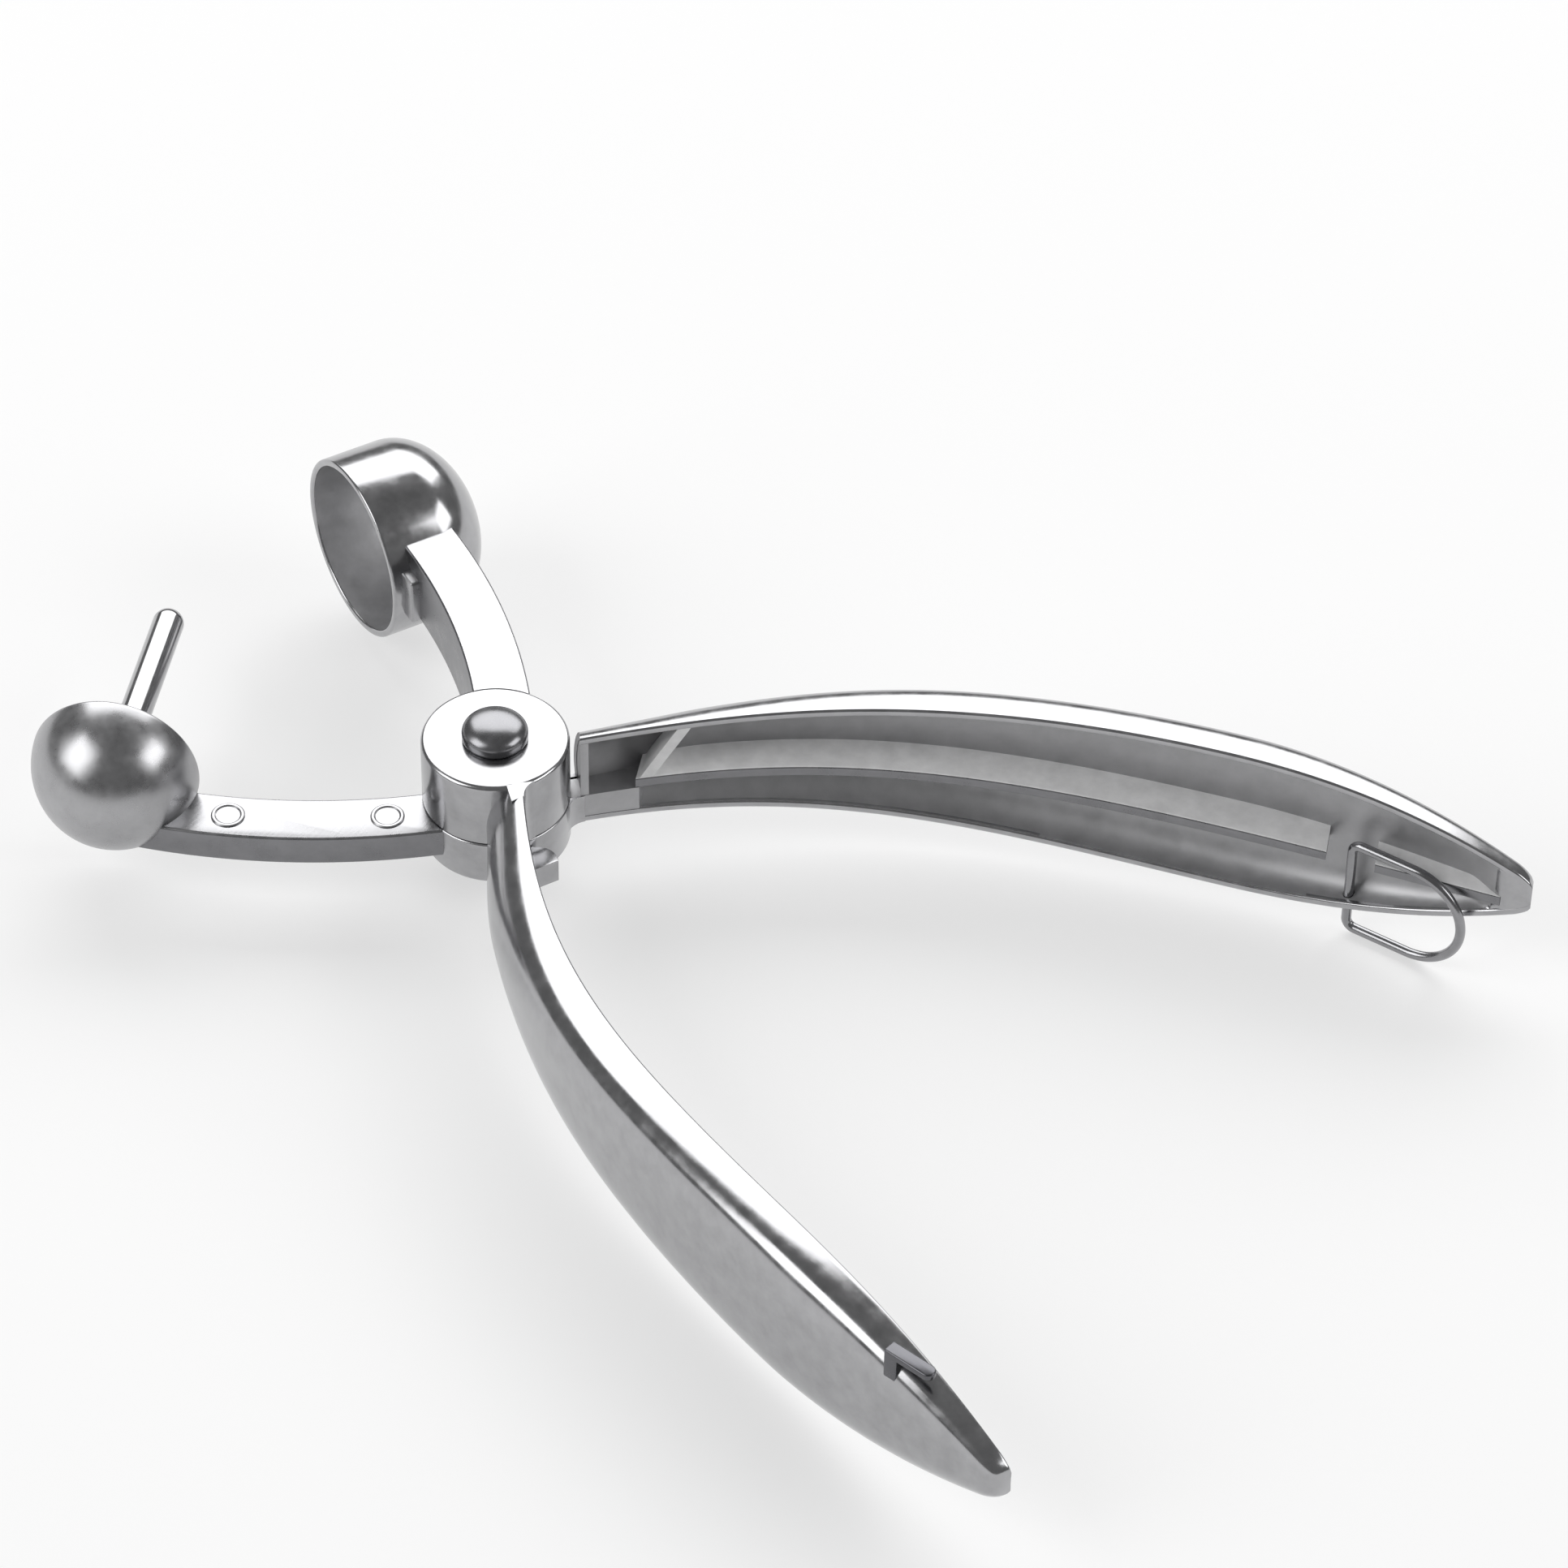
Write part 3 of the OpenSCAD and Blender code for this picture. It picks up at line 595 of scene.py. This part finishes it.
# ---------------------------------------------------------------- hub, arms and jaws
def arm_outline(x_far):
    """Plan of an arm on the +Y side: a bowed band from inside the barrel to the jaw."""
    xs = np.linspace(-4.5, x_far, 36)

    def edge(r):
        return [(x, ARM_Y - ARM_R + math.sqrt(r**2 - (x - ARM_X) ** 2)) for x in xs]

    return edge(ARM_R + ARM_W / 2) + edge(ARM_R - ARM_W / 2)[::-1]


def dome(r, skirt, height, r_stop, n):
    """Line of (r, z) points over a dome, from the skirt's edge in to radius r_stop."""
    top = math.acos(min(1, r_stop / r))
    return [(r * math.cos(top * k / n), skirt + height * math.sin(top * k / n)) for k in range(n + 1)]


def jaw_matrix(lever, rim):
    """From a lathe standing on its rim to the jaw's place; the dome points away from the middle."""
    turn = Matrix.Rotation(-math.pi / 2, 4, "X")
    if lever == CUP:
        at = Matrix.Translation((JAW_X, rim, JAW_Z)) @ turn
        return Matrix.Rotation(-OPEN_HALF, 4, "Z") @ Matrix.Scale(MM, 4) @ at
    at = Matrix.Translation((JAW_X, -rim, JAW_Z)) @ Matrix.Rotation(math.pi / 2, 4, "X")
    return Matrix.Rotation(OPEN_HALF, 4, "Z") @ Matrix.Scale(MM, 4) @ at


def rim_lips(r_out, r_in, edge):
    """Rounded outer and inner edges of a jaw's rim, as lines of (r, z) points."""
    turn = np.linspace(0, math.pi / 2, 5)
    lip = [(r_out - edge + edge * math.cos(a), edge - edge * math.sin(a)) for a in turn[::-1]]
    lip_in = [
        (r_in + INNER_EDGE - INNER_EDGE * math.cos(a), INNER_EDGE - INNER_EDGE * math.sin(a))
        for a in turn
    ]
    return lip, lip_in


def jaw_tool(r, skirt, height, at):
    """Solid that clears a jaw's inside out of the arm that carries it."""
    tool = lathe("tool", [(0, -1), (r, -1)] + dome(r, skirt, height, 0.01, 24), M_INSIDE, 96)
    return place(tool, at)


def build_cup():
    inner_r = CUP_R - 0.9
    outer = dome(CUP_R, CUP_SKIRT, CUP_DOME, HOLE_R, 40)
    inner = dome(inner_r, CUP_SKIRT, CUP_DOME - CUP_WALL, HOLE_R, 40)
    lip, lip_in = rim_lips(CUP_R, inner_r, 0.3)
    profile = lip + outer + inner[::-1] + lip_in
    cup = lathe("cup_casting", profile, [M_BRIGHT, M_PAINTED_LIGHT_CUP_INSIDE], 160)
    # Faces of the hollow get the lighter satin: painted light inside the cup
    for f in cup.data.polygons:
        r = math.hypot(f.center.x, f.center.y)
        radial = Vector((f.center.x, f.center.y, 0)).normalized().dot(f.normal)
        inward = radial < 0 or f.normal.z < -0.3
        hollow = 0.4 < f.center.z < 16 and r < inner_r + 0.05
        f.material_index = 1 if inward and hollow else 0
    place(cup, jaw_matrix(CUP, CUP_RIM))
    finish_piece(cup, CUP, ("pitting_cup",))

    # The arm is drawn on the +Y side of the cup lever, which isn't mirrored there
    arm = prism("arm", arm_outline(JAW_X + 4), SEAM_TOP + SEAM_FIT, HUB_TOP - SEAM_FIT, [M_BRIGHT, M_PAINTED_SHADE])
    # The arm's upright faces get painted shade
    paint_shaded_sides(arm)
    bevel(arm, 0.35, 60)
    foot = block("foot", (-34.5, 5.0, SEAM_TOP + SEAM_FIT), (-30.9, 8.5, SEAM_TOP + 6.3), M_BOWL)
    bevel(foot, 0.3)
    inside_at = Matrix.Translation((JAW_X, CUP_RIM, JAW_Z)) @ Matrix.Rotation(-math.pi / 2, 4, "X")
    matrix = Matrix.Rotation(-OPEN_HALF, 4, "Z") @ Matrix.Scale(MM, 4)
    cut(arm, disc("tool", HUB_R - ARM_FIT, SEAM_TOP - 1, HUB_TOP + 1))
    for obj in (arm, foot):
        cut(obj, jaw_tool(CUP_R - 0.7, CUP_SKIRT, CUP_DOME - 0.7, inside_at))
        tidy_mesh(obj)
        place(obj, matrix)
    arm.name, foot.name = "cup_arm_casting", "cup_arm_foot"
    finish_piece(arm, CUP, ("cup_arm",))
    finish_piece(foot, CUP)


def build_bowl():
    inner_r, inner_d = BOWL_R - BOWL_WALL, BOWL_DEPTH - BOWL_WALL
    outer = dome(BOWL_R, 0, BOWL_DEPTH, 0.02, 48)
    inner = [p for p in dome(inner_r, 0, inner_d, 0.02, 48) if p[0] > BOSS_R + 0.4]
    boss_top = inner_d - BOSS_H
    lip, lip_in = rim_lips(BOWL_R, inner_r, 0.35)
    outer = [(r, z) for r, z in outer if z > 0.35]
    inner = [(r, z) for r, z in inner if z > 0.3]
    boss = [
        (BOSS_R + 0.1, inner[-1][1] - 0.2), (BOSS_R, boss_top + 0.4),
        (BOSS_R - 0.3, boss_top), (0, boss_top),
    ]
    profile = lip + outer + [(0, BOWL_DEPTH)] + boss[::-1] + inner[::-1] + lip_in
    bowl = lathe("bowl_casting", profile, [M_BOWL, M_INSIDE], 160, 50)
    matrix = jaw_matrix(PLUNGER, BOWL_RIM)
    place(bowl, matrix)
    finish_piece(bowl, PLUNGER, ("splash_bowl",))

    reach = BOWL_RIM + CUP_RIM + CUP_SKIRT + CUP_DOME + ROD_TIP
    turn = np.linspace(0, math.pi / 2, 16)
    tip = [(ROD_R * math.cos(a), ROD_R - reach - ROD_R * math.sin(a)) for a in turn]
    root = BOWL_DEPTH - 2
    rod = lathe("plunger_rod_steel", [(0, root), (ROD_R, root)] + tip, M_STEEL, 64)
    place(rod, matrix)
    finish_piece(rod, PLUNGER, ("plunger_rod",))

    low = LOWER_TOP - PLUNGER_ARM_T
    arm = prism("arm", arm_outline(JAW_X + 3), low, LOWER_TOP, [M_ARM, M_PAINTED_SHADE])
    # The arm's upright faces get painted shade
    paint_shaded_sides(arm)
    place(arm, Matrix.Diagonal((1, -1, 1, 1)))
    bevel(arm, 0.3, 60)
    inside_at = Matrix.Translation((JAW_X, -BOWL_RIM, JAW_Z)) @ Matrix.Rotation(math.pi / 2, 4, "X")
    cut(arm, jaw_tool(BOWL_R - 0.7, 0, BOWL_DEPTH - 0.7, inside_at))
    cut(arm, disc("tool", HUB_R - ARM_FIT, 0, HUB_TOP))
    tidy_mesh(arm)
    arm.name = "plunger_arm_casting"
    place(arm, lever_matrix(PLUNGER))
    finish_piece(arm, PLUNGER, ("plunger_arm",))
    for i, x in enumerate(MARK_PLACES):
        y = ARM_Y - ARM_R + math.sqrt(ARM_R**2 - (x + ARM_X) ** 2)
        ring = [(0, -0.3), (2.0, -0.3), (2.0, 0.1), (1.85, 0.2), (1.6, 0.2), (1.4, 0.08), (0, 0.06)]
        mark = lathe(f"arm_mark_{i + 1}", ring, M_ARM, 64, 30)
        place(mark, lever_matrix(PLUNGER) @ Matrix.Translation((-x, -y, LOWER_TOP)))
        finish_piece(mark, PLUNGER)


def build_hub():
    def barrel(name, z0, z1, r_bottom, r_top, body, node_name):
        corner = np.linspace(0, math.pi / 2, 6)
        low_r, high_r = HUB_R - r_bottom, HUB_R - r_top
        low = [(low_r + r_bottom * math.sin(a), z0 + r_bottom - r_bottom * math.cos(a)) for a in corner]
        high = [(high_r + r_top * math.cos(a), z1 - r_top + r_top * math.sin(a)) for a in corner]
        obj = lathe(name, [(2.2, z0)] + low + high + [(2.2, z1)], M_BRIGHT, 160)
        place(obj, Matrix.Scale(MM, 4))
        return finish_piece(obj, body, (node_name,))

    barrel("lower_barrel_casting", 0, LOWER_TOP, 0.6, 0.25, PLUNGER, "lower_barrel")
    barrel("upper_barrel_casting", SEAM_TOP, HUB_TOP, 0.25, 0.55, CUP, "upper_barrel")

    base = HUB_TOP + 0.05
    turn = np.linspace(0, math.pi / 2, 25)
    edge = [(HEAD_R * math.cos(a) ** 0.8, base + HEAD_EDGE + HEAD_DOME * math.sin(a)) for a in turn]
    skirt = [(HEAD_R - 0.25, base), (HEAD_R - 0.05, base + 0.15), (HEAD_R, base + 0.45)]
    head = lathe("rivet_head", [(0, 1.0), (2.0, 1.0), (2.0, base)] + skirt + edge, M_RIVET, 96, 60)
    tail = lathe("rivet_tail", [(0, 0.05), (2.3, 0.05), (2.8, 0.3), (2.95, 1.0), (0, 1.0)], M_RIVET, 96, 60)
    place(head, Matrix.Scale(MM, 4))
    place(tail, Matrix.Scale(MM, 4))
    finish_piece(head, PLUNGER, ("pivot_rivet",))
    finish_piece(tail, PLUNGER)
    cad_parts["return_spring"].data.materials.clear()
    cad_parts["return_spring"].data.materials.append(M_WIRE)


def build_stop():
    middle, _ = fillet_centre()
    r = FILLET_R - STOP_PLAY
    top = math.asin((STOP_X - middle[0]) / r)
    far = math.pi / 2 - top
    inner_r = HUB_R + 0.15
    turn = np.linspace(far, math.pi - 0.35, 14)
    arc = [(middle[0] + r * math.cos(a), middle[1] + r * math.sin(a)) for a in turn]
    hub = [(inner_r * math.cos(a), inner_r * math.sin(a)) for a in np.linspace(0.02, -0.19, 5)]
    outline = [(STOP_X, -3.6)] + arc + hub + [(9.6, -3.0)]
    foot = MID_Z - NECK_HALF
    stop = prism("closing_stop_casting", outline, foot, foot + STOP_H, M_BRIGHT)
    bevel(stop, 0.3, 50)
    tidy_mesh(stop)
    place(stop, Matrix.Rotation(-OPEN_HALF, 4, "Z") @ Matrix.Scale(MM, 4))
    finish_piece(stop, CUP, ("closing_stop",))


# ---------------------------------------------------------------- latch
def tube(name, path, radius, material, segments=20):
    """Closed round wire along a closed path in one plane, points (u, v)."""
    path = np.array(path, float)
    n = len(path)
    ahead = np.roll(path, -1, axis=0) - np.roll(path, 1, axis=0)
    ahead /= np.linalg.norm(ahead, axis=1)[:, None]
    side = np.c_[ahead[:, 1], -ahead[:, 0]]
    verts = []
    for p, s in zip(path, side):
        for k in range(segments):
            a = 2 * math.pi * k / segments
            out = radius * math.cos(a)
            verts.append((p[0] + s[0] * out, radius * math.sin(a), p[1] + s[1] * out))
    faces = []
    for i in range(n):
        for k in range(segments):
            j, m = (k + 1) % segments, (i + 1) % n
            faces.append((i * segments + k, m * segments + k, m * segments + j, i * segments + j))
    return make_object(name, verts, faces, material, 60)


def build_bail():
    end_r, corner = BAIL_W / 2, 2 * WIRE_R
    half = [(0, v) for v in np.linspace(0, end_r - corner, 6)][:-1]
    turn = np.linspace(0, math.pi / 2, 9)
    half += [(corner - corner * math.cos(a), end_r - corner + corner * math.sin(a)) for a in turn]
    half += [(u, end_r) for u in np.linspace(corner, BAIL_L - end_r, 8)][1:-1]
    turn = np.linspace(0, math.pi / 2, 25)
    half += [(BAIL_L - end_r + end_r * math.sin(a), end_r * math.cos(a)) for a in turn]
    path = half + [(u, -v) for u, v in reversed(half[1:-1])]
    bail = tube("bail_wire", path, WIRE_R, M_WIRE)
    y = float(rim_y(BAIL_X)) + BAIL_INSET
    at = Matrix.Translation((BAIL_X, y, BAIL_Z)) @ Matrix.Rotation(-BAIL_REST, 4, "Z")
    place(bail, lever_matrix(PLUNGER) @ at)
    finish_piece(bail, BAIL, ("latch_bail",))


def build_hook():
    x = HOOK_X
    wall_z = MID_Z + float(half_height(x))
    top = wall_z + HOOK_GAP + HOOK_T
    a = np.linspace(-math.pi / 2, math.pi / 2, 13)
    end = [(HOOK_L + HOOK_W / 2 * math.cos(t), HOOK_W / 2 * (1 + math.sin(t))) for t in a]
    hook = prism("hook_casting", [(0, 0)] + end + [(0, HOOK_W)], top - HOOK_T, top, M_HOOK)
    post = block("tool", (0, 0, wall_z - 3.0), (HOOK_W, HOOK_W, top - HOOK_T / 2), M_HOOK)
    cut(hook, post, "UNION")
    bevel(hook, 0.2, 60)
    tidy_mesh(hook)
    y = float(rim_y(x)) + HOOK_INSET
    at = Matrix.Translation((x, y, 0)) @ Matrix.Rotation(HOOK_TURN, 4, "Z")
    place(hook, lever_matrix(CUP) @ at)
    finish_piece(hook, CUP, ("latch_hook",))


# ---------------------------------------------------------------- floor, light and camera
def build_floor():
    """Pale floor that keeps the object's shadow; camera, mirror and see-through rays see it alike."""
    floor_z = cad_box[0].z - 0.0002
    half = 4.0
    corners = [(-half, -half), (half, -half), (half, half), (-half, half)]
    mesh = bpy.data.meshes.new("floor")
    mesh.from_pydata([(x, y, floor_z) for x, y in corners], [], [(0, 1, 2, 3)])
    floor = bpy.data.objects.new("floor", mesh)
    bpy.context.scene.collection.objects.link(floor)
    mat = bpy.data.materials.new("pale_floor")
    mat.use_nodes = True
    tree = mat.node_tree
    link = tree.links.new
    paper = tree.nodes["Principled BSDF"]
    paper.inputs["Base Color"].default_value = (0.95, 0.95, 0.95, 1)
    paper.inputs["Roughness"].default_value = 0.9
    paper.inputs["Specular IOR Level"].default_value = 0.1
    white = node(tree, "ShaderNodeEmission", Strength=1.0)
    ray = node(tree, "ShaderNodeLightPath")
    direct = node(tree, "ShaderNodeMath", operation="MAXIMUM")
    seen = node(tree, "ShaderNodeMath", operation="MAXIMUM")
    share = node(tree, "ShaderNodeMath", operation="MULTIPLY")
    share.inputs[1].default_value = WHITE_SHARE
    blend = node(tree, "ShaderNodeMixShader")
    link(ray.outputs["Is Camera Ray"], direct.inputs[0])
    link(ray.outputs["Is Glossy Ray"], direct.inputs[1])
    link(direct.outputs[0], seen.inputs[0])
    link(ray.outputs["Is Transmission Ray"], seen.inputs[1])
    link(seen.outputs[0], share.inputs[0])
    link(share.outputs[0], blend.inputs[0])
    link(paper.outputs[0], blend.inputs[1])
    link(white.outputs[0], blend.inputs[2])
    link(blend.outputs[0], tree.nodes["Material Output"].inputs["Surface"])
    mesh.materials.append(mat)


def softbox(name, azimuth, elevation, wide, high):
    """Rectangular light, with its place and size as seen from the object in degrees."""
    distance = 1.5
    light = bpy.data.lights.new(name, "AREA")
    light.shape = "RECTANGLE"
    light.size = 2 * distance * math.tan(math.radians(wide / 2))
    light.size_y = 2 * distance * math.tan(math.radians(high / 2))
    light.energy = LAMP_RADIANCE * math.pi * light.size * light.size_y
    a, e = math.radians(azimuth), math.radians(elevation)
    towards = Vector((math.cos(a) * math.cos(e), math.sin(a) * math.cos(e), math.sin(e)))
    obj = bpy.data.objects.new(name, light)
    bpy.context.scene.collection.objects.link(obj)
    obj.location = Vector((0.03, 0, 0)) + towards * distance
    obj.rotation_euler = towards.to_track_quat("Z", "Y").to_euler()


def build_lights():
    world = bpy.data.worlds.new("studio")
    bpy.context.scene.world = world
    world.use_nodes = True
    background = world.node_tree.nodes["Background"]
    background.inputs["Color"].default_value = (WORLD_GREY, WORLD_GREY, WORLD_GREY, 1)
    background.inputs["Strength"].default_value = 1.0
    for lamp in LAMPS:
        softbox(*lamp)
    bpy.context.scene.view_settings.view_transform = "Standard"


def build_camera():
    back = Vector((
        math.sin(CAMERA_AZIMUTH) * math.cos(CAMERA_ELEVATION),
        -math.cos(CAMERA_AZIMUTH) * math.cos(CAMERA_ELEVATION),
        math.sin(CAMERA_ELEVATION),
    ))
    camera = bpy.data.cameras.new("camera")
    camera.sensor_width = SENSOR
    camera.lens = SENSOR * CAMERA_DISTANCE / (PICTURE_PX * METRES_PER_PX)
    camera.clip_start, camera.clip_end = 0.01, 20
    obj = bpy.data.objects.new("camera", camera)
    bpy.context.scene.collection.objects.link(obj)
    turn = (-back).to_track_quat("-Z", "Y").to_matrix().to_4x4()
    at = Matrix.Translation(CAMERA_TARGET + back * CAMERA_DISTANCE)
    obj.matrix_world = at @ turn @ Matrix.Rotation(CAMERA_ROLL, 4, "Z")
    bpy.context.scene.camera = obj


build_handle(PLUNGER)
build_handle(CUP)
build_cup()
build_bowl()
build_hub()
build_stop()
build_bail()
build_hook()
build_floor()
build_lights()
build_camera()

bpy.context.view_layer.update()
